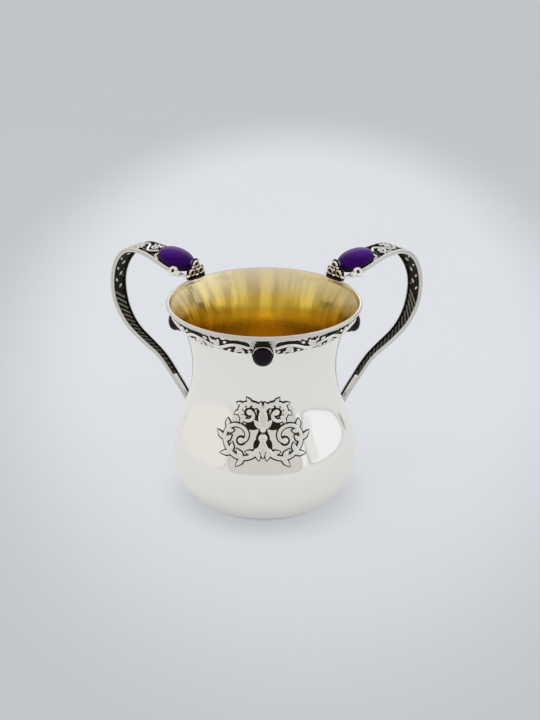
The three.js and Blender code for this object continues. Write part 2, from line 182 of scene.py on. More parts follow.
class Build:
    """Vertices and faces of one piece, in millimetres, with a material number for each face."""

    def __init__(self):
        self.verts = []
        self.faces = []
        self.marks = []
        self.count = 0

    def add(self, verts, faces, mark=0):
        verts = np.asarray(verts, float)
        self.verts.append(verts)
        self.faces += [[i + self.count for i in face] for face in faces]
        marks = [mark] * len(faces) if np.isscalar(mark) else list(mark)
        self.marks += marks
        self.count += len(verts)

    def make(self, name, looks, replaced, turn=0.0, smooth=50):
        """Makes the piece, turned about the cup's axis, in place of one CAD node."""
        verts = np.concatenate(self.verts) * MM
        c, s = heading(turn)
        verts = verts @ np.array([[c, -s, 0], [s, c, 0], [0, 0, 1]]).T
        piece = add_mesh(name, verts.tolist(), self.faces, looks)
        mesh = piece.data
        mesh.polygons.foreach_set("material_index", self.marks)
        mesh.polygons.foreach_set("use_smooth", [True] * len(self.faces))
        mesh.set_sharp_from_angle(angle=math.radians(smooth))
        mesh.update()
        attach(piece, "root")
        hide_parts(replaced)


def grid_faces(rows, columns, closed_rows=False, closed_columns=False):
    faces = []
    for i in range(rows if closed_rows else rows - 1):
        for j in range(columns if closed_columns else columns - 1):
            a, b = i * columns + j, i * columns + (j + 1) % columns
            c, d = (i + 1) % rows * columns + (j + 1) % columns, (i + 1) % rows * columns + j
            faces.append([a, b, c, d])
    return faces


def revolve(profile, steps, closed=False):
    """A surface of revolution: profile points (radius, height) become rows, turned about Z."""
    profile = np.asarray(profile, float)
    turn = circle(steps)
    verts = np.stack([
        profile[:, :1] * np.cos(turn), profile[:, :1] * np.sin(turn),
        np.repeat(profile[:, 1:], steps, 1)], -1).reshape(-1, 3)
    return verts, grid_faces(len(profile), steps, closed, True)


def loft(rings, capped=True, closed=False):
    """Skins a stack of rings of points; returns vertices and faces."""
    rings = np.asarray(rings, float)
    rows, columns = rings.shape[:2]
    faces = grid_faces(rows, columns, closed, True)
    if capped and not closed:
        faces.append(list(range(columns))[::-1])
        faces.append([(rows - 1) * columns + j for j in range(columns)])
    return rings.reshape(-1, 3), faces


def tube(points, radius, sides=8, flat=1.0, up=None, closed=False):
    """A round wire along points; flat squeezes it along up."""
    points = np.asarray(points, float)
    along = np.roll(points, -1, 0) - np.roll(points, 1, 0) if closed else np.gradient(points, axis=0)
    along /= np.linalg.norm(along, axis=1)[:, None]
    if up is None:
        up = np.tile([0.0, 0.0, 1.0], (len(points), 1))
    up = np.broadcast_to(up, points.shape)
    side = np.cross(along, up)
    side /= np.linalg.norm(side, axis=1)[:, None]
    out = np.cross(side, along)
    radius = np.broadcast_to(radius, (len(points),))
    turn = circle(sides)
    rings = (points[:, None] + side[:, None] * (radius[:, None] * np.cos(turn))[..., None]
             + out[:, None] * (flat * radius[:, None] * np.sin(turn))[..., None])
    return loft(rings[:, ::-1], True, closed)


def lens(at, x, y, z, long, wide, high, point=0.0, rings=6, sides=10):
    """A bead or leaf lobe: an ellipsoid of given half sizes, pointed towards +x by point."""
    polar = np.linspace(-np.pi / 2, np.pi / 2, rings + 1)
    turn = circle(sides)
    px = np.sin(polar)
    taper = np.cos(polar) * (1 - point * np.clip(px, 0, 1))
    ring = np.stack([np.repeat(px[:, None], sides, 1) * long,
                     taper[:, None] * np.cos(turn) * wide,
                     taper[:, None] * np.sin(turn) * high], -1)
    basis = np.array([x, y, z])
    verts = np.asarray(at) + ring.reshape(-1, 3) @ basis
    return verts, grid_faces(rings + 1, sides, False, True)


# Places on the wall and on the strap

def on_wall(azimuth, height, lift=0.0):
    """A point off the wall, with its across, along and outward directions."""
    radius, normal = wall_at(height)
    c, s = heading(azimuth)
    out = np.array([c * normal[0], s * normal[0], normal[1]])
    across = np.array([-s, c, 0.0])
    at = np.array([c * radius, s * radius, height]) + out * lift
    return at, across, np.cross(out, across), out


def strap_stations():
    radius, normal = wall_at(FOOT_HEIGHT)
    foot = np.array([radius, FOOT_HEIGHT]) + normal * (2 * SOLDER_GAP + FOOT_SHEET + STRAP_DEPTH / 2)
    stations = [((RIM_RADIUS + reach, CUP_HEIGHT + rise), turn) for reach, rise, turn in STRAP_STATIONS]
    return stations + [(tuple(foot), FOOT_HEADING)]


def strap_line():
    stations = strap_stations()
    parts = []
    for (a, leave), (b, arrive), shares in zip(stations, stations[1:], STRAP_SHARES):
        parts.append(stretch(a, leave, b, arrive, shares, 200))
    line = np.concatenate([parts[0]] + [p[1:] for p in parts[1:]])
    length = np.concatenate([[0], np.cumsum(np.linalg.norm(np.diff(line, axis=0), axis=1))])
    return line, length


STRAP, STRAP_AT = strap_line()
STRAP_LENGTH = STRAP_AT[-1]


def strap_point(share):
    held = np.clip(share, 0, 1) * STRAP_LENGTH
    return np.array([np.interp(held, STRAP_AT, STRAP[:, 0]), np.interp(held, STRAP_AT, STRAP[:, 1])])


def on_strap(share, across=0.0, lift=0.0):
    """A point on the strap, with the directions along it, across it and out of its outer face."""
    step = 0.002
    low, high = max(share - step, 0), min(share + step, 1)
    tangent = strap_point(high) - strap_point(low)
    tangent /= np.linalg.norm(tangent)
    point = strap_point(share) + (share - np.clip(share, 0, 1)) * STRAP_LENGTH * tangent
    along = np.array([tangent[0], 0, tangent[1]])
    out = np.array([-tangent[1], 0, tangent[0]])
    return np.array([point[0], across, point[1]]) + out * lift, along, np.array([0.0, 1.0, 0.0]), out


def span_at(share):
    for (low, narrow), (high, wide) in zip(SPANS, SPANS[1:]):
        if share <= high:
            t = (share - low) / (high - low)
            return narrow + (wide - narrow) * t * t * (3 - 2 * t)
    return SPANS[-1][1]


def clear_at(share):
    return span_at(share) - 2 * RAIL_WIDTH


def depth_at(share):
    """The strap is thinner towards its foot."""
    start, run = THINNING_SHARES
    t = np.clip((share - start) / run, 0, 1)
    return STRAP_DEPTH - THINNING * t * t * (3 - 2 * t)


# Materials

GOLD_DEEP = (0.46, 0.28, 0.025)
GOLD_LIGHT = (0.82, 0.57, 0.1)
GOLD_RIM = (0.88, 0.82, 0.58)
# Painted dark reflection for the gilding's right wall
GOLD_REFLECTED_DARK = (0.36, 0.25, 0.06)
GOLD_LOW = (0.97, 0.71, 0.11)
# Painted dark reflection for the gilding's sides
SIDE_REFLECTION_BROWN = (0.16, 0.085, 0.012)
# Two near-black tones, for oxide and painted shade
OXIDE_AND_SHADE_DEEP = (0.007, 0.0055, 0.003)
OXIDE_AND_SHADE_GREY = (0.034, 0.029, 0.02)


def material(name, base, metallic, roughness):
    made = bpy.data.materials.new(name)
    made.use_nodes = True
    shader = made.node_tree.nodes["Principled BSDF"]
    shader.inputs["Base Color"].default_value = (*base, 1)
    shader.inputs["Metallic"].default_value = metallic
    shader.inputs["Roughness"].default_value = roughness
    return made, made.node_tree, shader


def node(tree, kind, inputs=None, **settings):
    made = tree.nodes.new(kind)
    for key, value in settings.items():
        setattr(made, key, value)
    for key, value in (inputs or {}).items():
        if isinstance(value, bpy.types.NodeSocket):
            tree.links.new(value, made.inputs[key])
        else:
            made.inputs[key].default_value = value
    return made


def noise(tree, scale, detail=3.0, stretch_z=1.0):
    place = node(tree, "ShaderNodeTexCoord")
    inputs = {"Vector": place.outputs["Object"], "Scale": (1, 1, stretch_z)}
    spread = node(tree, "ShaderNodeMapping", inputs).outputs[0]
    return node(tree, "ShaderNodeTexNoise", {"Vector": spread, "Scale": scale, "Detail": detail})


def span_map(tree, source, low, high):
    return node(tree, "ShaderNodeMapRange", {"Value": source, "To Min": low, "To Max": high}).outputs[0]


def cut(tree, source, low, high, top=1.0):
    """Rises from 0 to top as the source goes from low to high."""
    inputs = {"Value": source, "From Min": low, "From Max": high, "To Max": top}
    return node(tree, "ShaderNodeMapRange", inputs).outputs[0]


def times(tree, first, second):
    return node(tree, "ShaderNodeMath", {0: first, 1: second}, operation="MULTIPLY").outputs[0]


def two_tone(tree, factor, first, second):
    """Mixes two colours, each a plain colour or another node's socket."""
    first, second = ((*tone, 1) if isinstance(tone, tuple) else tone for tone in (first, second))
    return node(tree, "ShaderNodeMix", {0: factor, 6: first, 7: second}, data_type="RGBA").outputs[2]


def bump(tree, shader, height, strength, distance):
    made = node(tree, "ShaderNodeBump", {"Height": height, "Strength": strength, "Distance": distance})
    tree.links.new(made.outputs[0], shader.inputs["Normal"])


def polished_silver(name, dark, bright, smooth, rough):
    """Bright silver with faint cloudiness and a slightly uneven surface."""
    made, tree, shader = material(name, bright, 1.0, rough)
    broad = noise(tree, 26, 2)
    fine = noise(tree, 900, 3)
    tree.links.new(two_tone(tree, broad.outputs[0], dark, bright), shader.inputs["Base Color"])
    tree.links.new(span_map(tree, fine.outputs[0], smooth, rough), shader.inputs["Roughness"])
    bump(tree, shader, broad.outputs[0], 0.12, 0.0006)
    return made


def coordinate(tree, letter):
    """One object coordinate, in metres."""
    place = node(tree, "ShaderNodeTexCoord").outputs["Object"]
    return node(tree, "ShaderNodeSeparateXYZ", {"Vector": place}).outputs[letter]


def height_blend(tree, low, high):
    """Rises from 0 to 1 between two heights in metres."""
    return cut(tree, coordinate(tree, "Z"), low, high)


def spun_noise(tree, scale, rise):
    """Noise in upright streaks about the cup's axis; rise sets how fast it changes with height."""
    place = node(tree, "ShaderNodeTexCoord").outputs["Object"]
    parts = node(tree, "ShaderNodeSeparateXYZ", {"Vector": place}).outputs
    flat = node(tree, "ShaderNodeCombineXYZ", {"X": parts["X"], "Y": parts["Y"]}).outputs[0]
    unit = node(tree, "ShaderNodeVectorMath", {"Vector": flat}, operation="NORMALIZE").outputs[0]
    turn = node(tree, "ShaderNodeSeparateXYZ", {"Vector": unit}).outputs
    tall = times(tree, parts["Z"], rise)
    spun = node(tree, "ShaderNodeCombineXYZ", {"X": turn["X"], "Y": turn["Y"], "Z": tall}).outputs[0]
    return node(tree, "ShaderNodeTexNoise", {"Vector": spun, "Scale": scale, "Detail": 3.0}).outputs[0]


def mixed_value(tree, factor, first, second):
    return node(tree, "ShaderNodeMix", {0: factor, 2: first, 3: second}, data_type="FLOAT").outputs[0]


def painted_side_reflections(tree):
    """Upright brown streaks in the gilding, only towards the cup's two sides: a painted dark reflection."""
    away = node(tree, "ShaderNodeMath", {0: coordinate(tree, "X")}, operation="ABSOLUTE").outputs[0]
    side = cut(tree, away, 0.026, 0.038, top=0.7)
    dark = cut(tree, spun_noise(tree, 9, 3), 0.42, 0.62)
    below = times(tree, dark, height_blend(tree, 0.104, 0.092))
    return times(tree, side, below)


def gilt():
    """Gold wash with upright streaks, pale towards the rim, darker at the right as a painted dark reflection,
    and deeper low down.
    """
    made, tree, shader = material("gilt_inside", (0.93, 0.75, 0.38), 1.0, 0.2)
    streak = spun_noise(tree, 6.5, 5)
    fine = noise(tree, 1500, 2, 0.1)
    gold = two_tone(tree, cut(tree, streak, 0.4, 0.6), GOLD_DEEP, GOLD_LIGHT)
    rim = two_tone(tree, height_blend(tree, 0.091, 0.109), gold, GOLD_RIM)
    # Painted dark reflection: the right wall darker
    painted_right_reflection = two_tone(tree, cut(tree, coordinate(tree, "X"), 0.016, 0.04, top=0.5), rim, GOLD_REFLECTED_DARK)
    low = height_blend(tree, 0.096, 0.074)
    deep = two_tone(tree, low, painted_right_reflection, GOLD_LOW)
    # Painted dark reflection: brown streaks towards the two sides
    tree.links.new(two_tone(tree, painted_side_reflections(tree), deep, SIDE_REFLECTION_BROWN), shader.inputs["Base Color"])
    rough = mixed_value(tree, low, span_map(tree, fine.outputs[0], 0.1, 0.22), 0.3)
    tree.links.new(rough, shader.inputs["Roughness"])
    bump(tree, shader, streak, times(tree, height_blend(tree, 0.004, 0.03), 0.4), 0.0009)
    return made


def hollow_silver(name, dark, bright, distance, low, high):
    """Silver that is dark in its hollows and bright where it stands free."""
    made, tree, shader = material(name, bright, 1.0, 0.16)
    hollow = node(tree, "ShaderNodeAmbientOcclusion", {"Distance": distance}, samples=8)
    depth = cut(tree, hollow.outputs["AO"], low, high)
    tree.links.new(two_tone(tree, depth, dark, bright), shader.inputs["Base Color"])
    rough = noise(tree, 1200, 3)
    tree.links.new(span_map(tree, rough.outputs[0], 0.1, 0.26), shader.inputs["Roughness"])
    bump(tree, shader, rough.outputs[0], 0.15, 0.0002)
    return made


def winding_silver():
    """Blackened wire, lighter on the upper turns: partly wear, partly a painted highlight."""
    made, tree, shader = material("silver_winding", (0.1, 0.1, 0.09), 1.0, 0.35)
    # Wear and a painted highlight: the upper turns lighter
    worn = two_tone(tree, height_blend(tree, 0.062, 0.094), (0.12, 0.112, 0.095), (0.38, 0.36, 0.32))
    tree.links.new(worn, shader.inputs["Base Color"])
    rough = noise(tree, 1300, 3)
    tree.links.new(span_map(tree, rough.outputs[0], 0.25, 0.45), shader.inputs["Roughness"])
    bump(tree, shader, rough.outputs[0], 0.2, 0.0002)
    return made


def black_ground():
    """Silver that is near-black all over: oxide on the front ornament, and painted shade for the grounds, the
    rails' inner faces, the ringlets' eyes and the dark collets.
    """
    made, tree, shader = material("silver_oxide_and_painted_shade", (0.02, 0.02, 0.018), 0.6, 0.5)
    shader.inputs["Specular IOR Level"].default_value = 0.15
    grain = noise(tree, 1400, 4)
    tree.links.new(two_tone(tree, grain.outputs[0], OXIDE_AND_SHADE_DEEP, OXIDE_AND_SHADE_GREY), shader.inputs["Base Color"])
    tree.links.new(span_map(tree, grain.outputs[0], 0.35, 0.65), shader.inputs["Roughness"])
    bump(tree, shader, grain.outputs[0], 0.4, 0.0003)
    return made


def stone(name, deep, light, gloss, painted_highlight):
    """A cabochon's stone; its last colour is a painted highlight near the top of the big stones, where light
    gathers.
    """
    made, tree, shader = material(name, deep, 0.0, 0.04)
    shader.inputs["IOR"].default_value = 1.5
    shader.inputs["Specular IOR Level"].default_value = gloss
    cloud = noise(tree, 110, 3)
    body = two_tone(tree, cloud.outputs[0], deep, light)
    # Painted highlight near the top of the stone
    top = height_blend(tree, 0.1145, 0.1195)
    tree.links.new(two_tone(tree, top, body, painted_highlight), shader.inputs["Base Color"])
    tree.links.new(span_map(tree, cloud.outputs[0], 0.03, 0.08), shader.inputs["Roughness"])
    return made


SILVER = polished_silver(
    "silver_polished", (0.87, 0.865, 0.85), (0.9, 0.895, 0.885), smooth=0.07, rough=0.15)
# A darker, rougher copy of the polished silver for the lip: the darker colour is painted shade
RIM = polished_silver("silver_rim", (0.58, 0.56, 0.52), (0.77, 0.75, 0.71), smooth=0.16, rough=0.28)
GILT = gilt()
CAST = hollow_silver(
    "silver_cast", (0.02, 0.018, 0.015), (0.84, 0.83, 0.79), distance=0.0011, low=0.35, high=0.75)
# A darker copy of the cast silver for the handles: painted shade
CAST_SHADED = hollow_silver(
    "silver_cast_shaded", (0.12, 0.115, 0.1), (0.68, 0.67, 0.64), distance=0.0007, low=0.4, high=0.85)
WOUND = winding_silver()
BLACK = black_ground()
PURPLE = stone(
    "stone_purple", (0.012, 0.0003, 0.058), (0.045, 0.0008, 0.14), gloss=0.05, painted_highlight=(0.13, 0.018, 0.31))
DARK = stone(
    "stone_dark", (0.001, 0.001, 0.003), (0.011, 0.004, 0.018), gloss=0.12, painted_highlight=(0.011, 0.004, 0.018))


# Cup body

def arc_points(centre, radius, start, end, steps):
    turn = np.radians(np.linspace(start, end, steps + 1))
    return np.stack([centre[0] + radius * np.cos(turn), centre[1] + radius * np.sin(turn)], 1)


def make_bowl():
    outside = body_line(LINE_STEPS)
    inside = offset_line(outside, -WALL)
    edge = np.interp(MOUTH[1], inside[:, 1], inside[:, 0])
    inside = inside[(inside[:, 1] > 1.5 * WALL) & (inside[:, 1] < MOUTH[1])][::-1]
    recess = 0.35
    bottom = [(AXIS, recess), (22.0, recess), (23.4, 0.05), (26.2, 0.0)]
    crest = MOUTH[1] + SOLDER_GAP
    top = [(MOUTH[0] - 0.1, crest), (edge + 0.1, crest), (edge, MOUTH[1])]
    floor = [(radius, WALL) for radius in (BASE_RADIUS, 20.0, 10.0, AXIS)]
    outer = np.concatenate([bottom, outside, top])
    profile = np.concatenate([outer, inside, floor])
    build = Build()
    verts, faces = revolve(profile, ROUND_STEPS)
    gilt_from = len(outer) - 2
    marks = [0 if i < gilt_from else 1 for i in range(len(profile) - 1) for _ in range(ROUND_STEPS)]
    build.add(verts, [f[::-1] for f in faces], marks)
    build.make("bowl_body", [SILVER, GILT], "bowl", smooth=40)


def make_lip():
    """The rolled rim: its inside runs on from the wall's, leaning out."""
    bend = 0.8
    low = CUP_HEIGHT - LIP_HEIGHT
    sunk = low - 0.35
    crown = arc_points((RIM_RADIUS - bend, CUP_HEIGHT - bend), bend, start=0, end=162, steps=14)
    inside = offset_line(body_line(LINE_STEPS), -WALL)[-20:]
    inner = np.interp(sunk, inside[:, 1], inside[:, 0]) - 0.04
    foot = [(inner, sunk), (RIM_RADIUS - 0.6, sunk), (RIM_RADIUS - 0.1, low - 0.1), (RIM_RADIUS, low + 0.2)]
    profile = np.concatenate([crown, foot])
    build = Build()
    verts, faces = revolve(profile, ROUND_STEPS, closed=True)
    gilt_rows = (12, 13, 14)
    build.add(verts, faces, [int(i // ROUND_STEPS in gilt_rows) for i in range(len(faces))])
    build.make("lip_ring", [RIM, GILT], "lip")


# Filigree

def spiral(size, turns, steps, hand=1, start=0.0, curl=0.8):
    """A flat spiral about (0, 0): from radius size at angle start, winding in."""
    t = np.linspace(0, 1, steps + 1)
    radius = size * (1 - curl * t)
    angle = math.radians(start) + hand * 2 * math.pi * turns * t
    return np.stack([radius * np.cos(angle), radius * np.sin(angle)], 1)


def wire_on(build, place, flat_points, radius, lift, flat=0.8, sides=8, mark=0):
    spots = [place(u, v) for u, v in flat_points]
    points = np.array([at + out * lift for at, _, _, out in spots])
    outs = np.array([out for *_, out in spots])
    build.add(*tube(points, radius, sides, flat, outs), mark)


def lobe_on(build, place, u, v, angle, long, wide, high, lift, point=0.55, mark=0):
    at, x, y, out = place(u, v)
    c, s = heading(angle)
    build.add(*lens(at + out * lift, c * x + s * y, -s * x + c * y, out, long, wide, high, point), mark)


# Leaves in a hollow of a vine: shift along it in steps, angle in degrees, and size
LEAVES = ((-0.42, 150, 0.85), (-0.12, 105, 1.0), (0.22, 70, 1.0), (0.52, 35, 0.85))


def vine(build, place, length, height, waves, stem, wire, leaves=LEAVES):
    """A running vine: a waving stem with a curl, a bud and leaves in each hollow."""
    sway = height * 0.27
    t = np.linspace(0, 1, int(20 * waves) + 1)
    u = (t - 0.5) * length
    v = sway * np.sin(2 * np.pi * waves * t)
    wire_on(build, place, np.stack([u, v], 1), stem / 2, stem * 0.42, 0.85)
    step = length / (2 * waves)
    for i in range(int(round(2 * waves))):
        side = 1 if i % 2 == 0 else -1
        middle = ((i + 0.5) / (2 * waves) - 0.5) * length
        centre = np.array([middle + 0.04 * step, -side * height * 0.12])
        start = 200 if side > 0 else 160
        curl = spiral(height * 0.22, turns=1.1, steps=24, hand=side, start=start, curl=0.62) + centre
        wire_on(build, place, curl, wire / 2 * np.linspace(1.2, 0.9, 25), stem * 0.4, 0.95)
        lobe_on(build, place, *centre, 0, wire * 0.75, wire * 0.75, wire * 0.7, stem * 0.35, 0)
        for shift, angle, size in leaves:
            edge = -side * height * (0.41 - 0.1 * abs(shift - 0.04))
            lobe_on(build, place, middle + shift * step, edge, -side * angle,
                    wire * 1.25 * size, wire * 0.75 * size, wire * 0.6, stem * 0.3)


def ground_plate(build, place, u_edges, low, high, thick, lift):
    """A thin dark plate under the filigree, from the low to the high edge along u: painted shade behind the
    openwork.
    """
    inner, outer = [], []
    for u, a, b in zip(u_edges, low, high):
        row_in, row_out = [], []
        for v in np.linspace(a, b, 4):
            at, _, _, out = place(u, v)
            row_in.append(at + out * lift)
            row_out.append(at + out * (lift + thick))
        inner.append(row_in)
        outer.append(row_out)
    rings = np.concatenate([np.array(outer), np.array(inner)[:, ::-1]], 1)
    build.add(*loft(rings[:, ::-1]), 1)


def patch(build, place, u, v, half_long, half_wide, thick, steps=40):
    """A thin oval sheet that follows the wall."""
    rings = []
    for share, lift in ((0.02, thick), (0.4, thick), (0.75, thick), (1, thick), (1, 0.01)):
        ring = []
        for a in circle(steps):
            at, _, _, out = place(u + share * half_long * math.cos(a), v + share * half_wide * math.sin(a))
            ring.append(at + out * lift)
        rings.append(ring)
    build.add(*loft(np.array(rings)[:, ::-1], False), 1)


def make_band(name, azimuth):
    middle = BAND_TOP - BAND_HEIGHT / 2
    radius = wall_at(middle)[0]
    half = 45 - math.degrees(math.asin(BAND_STONE_ROOM / radius))
    length = 2 * math.radians(half) * radius

    def place(u, v):
        return on_wall(azimuth + math.degrees(u / radius), middle + v * BAND_HEIGHT_SHARE)

    build = Build()
    waves = 2.5
    vine(build, place, length, BAND_HEIGHT, waves, stem=1.9, wire=1.25)
    steps = 113
    u = np.linspace(-length / 2, length / 2, steps)
    t = np.linspace(0, 1, steps)
    scallop = np.abs(np.sin(np.pi * 6 * waves * t))
    wave = np.sin(2 * np.pi * waves * t)
    low = -BAND_HEIGHT * (0.5 + 0.1 * scallop + 0.05 * wave)
    high = BAND_HEIGHT * (0.28 + 0.12 * scallop + 0.1 * wave)
    # Painted shade: a dark plate behind the band's openwork
    ground_plate(build, place, u, low, high, thick=0.35, lift=0.02)
    build.make(f"{name}_vine", [CAST, BLACK], name)


def oval_ring(place, half_long, half_wide, sheet, low, high, steps=48):
    """A standing oval wall with a rounded top edge, on a place's plane."""
    at, x, y, out = place
    ring = []
    section = [(0, low), (0, high - 0.25), (-0.12, high - 0.05), (-sheet / 2, high),
               (-sheet + 0.12, high - 0.05), (-sheet, high - 0.25), (-sheet, low)]
    for angle in circle(steps):
        c, s = math.cos(angle), math.sin(angle)
        ring.append([at + x * c * (half_long + r) + y * s * (half_wide + r) + out * h for r, h in section])
    return loft(np.array(ring), False, True)


def cabochon(place, half_long, half_wide, girdle, dome, lift):
    """A flat-backed oval stone: a straight girdle under a dome."""
    at, x, y, out = place
    slopes = np.radians(np.linspace(6, 89.9, 14))
    dome_line = [(math.cos(a), girdle + dome * math.sin(a)) for a in slopes]
    rings = []
    for r, h in [(0.002, 0), (1, 0), (1.0, girdle)] + dome_line:
        rings.append([
            at + x * r * half_long * math.cos(a) + y * r * half_wide * math.sin(a) + out * (lift + h)
            for a in circle(56)])
    return loft(np.array(rings), True)


def collet_on_wall(build, spot, radius, sheet, high, mark=0, steps=56):
    """A round collet that grows out of the wall and ends in a level plane."""
    at, x, y, out = spot
    centre = math.hypot(at[0], at[1])
    sink = 0.3
    rings = []
    for angle in circle(steps):
        c, s = math.cos(angle), math.sin(angle)
        low = math.sqrt(wall_at(at[2] + s * radius)[0] ** 2 - (c * radius) ** 2) - centre - sink
        top = max(high, low + 2 * sink)
        section = [(0, low), (0, top - 0.2), (-0.1, top - 0.05),
                   (-sheet / 2, top), (-sheet, top - 0.1), (-sheet, low)]
        rings.append([at + (x * c + y * s) * (radius + r) + out * h for r, h in section])
    build.add(*loft(np.array(rings), False, True), mark)


def make_band_stone(name, azimuth):
    """A round stone in a dark collet with a skirt, and two bright wires round its upper half. The collet,
    skirt, bead ring and a patch above are painted shade.
    """
    at, across, _, _ = on_wall(azimuth, BAND_STONE_HEIGHT)
    up = np.array([0.0, 0.0, 1.0])
    outward = np.cross(across, up)
    spot = (at, across, up, outward)
    build = Build()
    # Painted shade: collet, skirt and bead ring in dark silver
    collet_on_wall(build, spot, COLLET_RADIUS, sheet=0.45, high=COLLET_STAND, mark=1)
    collet_on_wall(build, spot, SKIRT_RADIUS, sheet=0.5, high=1.4, mark=1)
    ring = [at + (across * math.cos(a) + up * math.sin(a)) * BEAD_RADIUS + outward * COLLET_STAND
            for a in circle(56)]
    build.add(*tube(ring, 0.2, sides=6, up=outward, closed=True), 1)

    def above(u, v):
        height = BAND_STONE_HEIGHT + v
        return on_wall(azimuth + math.degrees(u / wall_at(height)[0]), height)

    # Painted shadow above the stone
    patch(build, above, 0, 5.8, half_long=3.7, half_wide=2.2, thick=0.2)
    turn = np.radians(np.linspace(20, 160, 31))
    for lift in (2.85, 3.55):
        arc = [at + (across * math.cos(a) + up * math.sin(a)) * ARC_RADIUS + outward * lift for a in turn]
        build.add(*tube(arc, ARC_WIRE, up=outward), 2)
    build.make(f"{name}_collet", [CAST, BLACK, RIM], f"{name}_bezel")
    build = Build()
    build.add(*cabochon(spot, BAND_STONE_RADIUS, BAND_STONE_RADIUS, girdle=0.8, dome=2.4, lift=3.3))
    build.make(f"{name}_cabochon", [DARK], f"{name}_stone")


# Front ornament

ORNAMENT_HEIGHT = 55.0
ORNAMENT_GROUND = 0.16

# Scrolls: size, swing up or down, and height of the start
BIG_SCROLL = (11.0, -1, -5.0)
SMALL_SCROLL = (6.6, 1, 6.0)

# Leaves of a scroll: share of its line, length as a share of its size, and side
SCROLL_LEAVES = (
    (0.1, 0.2, 1), (0.2, 0.26, 1), (0.3, 0.28, 1), (0.4, 0.26, 1), (0.5, 0.21, 1),
    (0.12, 0.22, -1), (0.21, 0.24, -1), (0.3, 0.22, -1), (0.39, 0.2, -1), (0.48, 0.17, -1))


def on_front(u, v):
    """The wall in front of a flat point: u to the right and v up from the ornament's middle."""
    height = ORNAMENT_HEIGHT + v
    radius, _ = wall_at(height)
    azimuth = math.degrees(math.asin(np.clip(u / radius, -0.99, 0.99))) - 90
    return on_wall(azimuth, height)


def scroll_line(side, size, swing, start, steps=56):
    t = np.linspace(0, 1, steps + 1)
    radius = size * (1 - 0.85 * t)
    turn = np.pi * (1 - 2.4 * t)
    return np.stack([side * (size + radius * np.cos(turn)), start + swing * radius * np.sin(turn)], 1)


def scroll_leaves(build, line, size, wide, high, lift, mark):
    """Short leaves that spring from both sides of a scroll, smaller towards its eye."""
    for share, long, lean in SCROLL_LEAVES:
        i = int(share * (len(line) - 1))
        along = line[i + 1] - line[i - 1]
        along /= np.linalg.norm(along)
        away = line[i] - line.mean(0)
        away *= lean / np.linalg.norm(away)
        half = long * size
        angle = math.degrees(math.atan2(*(away + 0.8 * along)[::-1]))
        spot = line[i] + (away + 0.5 * along) * (0.7 + 0.45 * half)
        breadth = (0.55 + 0.05 * size) * wide
        lobe_on(build, on_front, *spot, angle, half + wide - 1.15, breadth, high, lift, 0.6, mark)


def make_ornament():
    """Two pairs of scrolls about a leaf, raised on blackened sheet."""
    build = Build()
    for side in (-1, 1):
        patch(build, on_front, side * 5.2, 0.4, 3.4, 1.9, ORNAMENT_GROUND)
        patch(build, on_front, side * 3.0, -8.6, 1.6, 3.0, ORNAMENT_GROUND)
    patch(build, on_front, 0, -5.2, 2.9, 5.2, ORNAMENT_GROUND)
    patch(build, on_front, 0, 7.4, 3.1, 5.2, ORNAMENT_GROUND)
    for wide, high, lift, mark in ((1.72, 0.2, 0.18, 1), (1.15, 0.7, 0.35, 0)):
        for side in (-1, 1):
            for size, swing, start in (BIG_SCROLL, SMALL_SCROLL):
                line = scroll_line(side, size, swing, start)
                width = wide * np.linspace(1.0, 0.8, len(line))
                wire_on(build, on_front, line, width, lift, flat=high, sides=10, mark=mark)
                lobe_on(build, on_front, *line[-1], 0, 1.5 * wide, 1.5 * wide, 1.25 * high, lift, 0, mark)
                scroll_leaves(build, line, size, wide, high, lift, mark)
            low_angle, high_angle = (-60, 50) if side > 0 else (-120, 130)
            lobe_on(build, on_front, side * 3.4, -11.4, low_angle, 2.8, 1.3 * wide, high, lift, 0.6, mark)
            lobe_on(build, on_front, side * 2.6, 1.4, high_angle, 3.0, 1.3 * wide, high, lift, 0.6, mark)
        lobe_on(build, on_front, 0, 4.6, 90, 8.6 + wide - 1, 2.0 * wide, 1.1 * high, lift, 0.6, mark)
        lobe_on(build, on_front, 0, -10.0, -90, 4.0 + wide - 1, 1.6 * wide, 1.1 * high, lift, 0.6, mark)
        lobe_on(build, on_front, 0, -5.0, 0, 2.0 * wide, 2.0 * wide, 1.35 * high, lift, 0, mark)
    build.make("front_scrolls", [CAST, BLACK], "front_ornament")


# Handles

# The points of a rail's section that face the openwork, painted dark as shade
INNER_COLUMNS = {11, 12, 13, 14}


def rail_section(width, depth):
    """A bar with a fine groove along its outer side, as (across, out) points."""
    x, y = width / 2, depth / 2
    return np.array([
        (x - 0.25, -y), (x - 0.06, -y + 0.14), (x, -0.55 * y), (x, -0.28), (x - 0.05, -0.15), (x - 0.24, 0),
        (x - 0.05, 0.15), (x, 0.28), (x, 0.55 * y), (x - 0.06, y - 0.14), (x - 0.25, y),
        (-x + 0.2, y), (-x, y - 0.2), (-x, -y + 0.2), (-x + 0.2, -y)])


